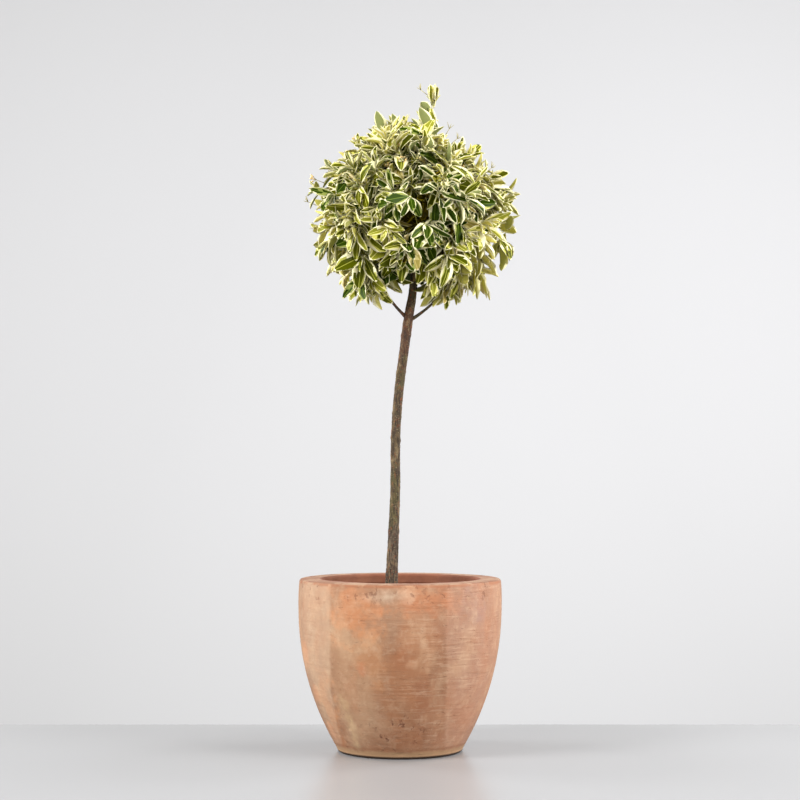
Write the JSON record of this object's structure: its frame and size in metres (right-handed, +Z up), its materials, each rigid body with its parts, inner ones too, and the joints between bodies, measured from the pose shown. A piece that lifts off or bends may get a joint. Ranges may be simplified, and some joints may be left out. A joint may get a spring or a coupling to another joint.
{
  "type": "standard lollipop topiary in a pot",
  "caption": "Variegated evergreen shrub on a clear stem with a round head of leaves, growing in a rounded terracotta pot.",
  "frame": {"origin": "centre of the pot's flat underside", "axes": "+Z up, +Y away from the front of the plant, +X to the right of the front"},
  "size_m": [0.436, 0.4052, 1.325],
  "materials": {
    "terracotta": "matte",
    "compost": "matte",
    "bark": "matte",
    "leaves": "satin"
  },
  "bodies": {
    "root": {"pot": "terracotta", "compost": "compost", "stem": "bark", "bough_left": "bark", "bough_right": "bark", "foliage_right": "leaves", "foliage_front_right": "leaves", "foliage_front_left": "leaves", "foliage_left": "leaves", "foliage_back_left": "leaves", "foliage_back_right": "leaves", "foliage_low_right": "leaves", "foliage_low_front": "leaves", "foliage_low_left": "leaves", "foliage_low_back": "leaves", "foliage_high_right": "leaves", "foliage_high_front": "leaves", "foliage_high_left": "leaves", "foliage_high_back": "leaves", "foliage_top": "leaves", "foliage_leader": "leaves"}
  },
  "joints": []
}
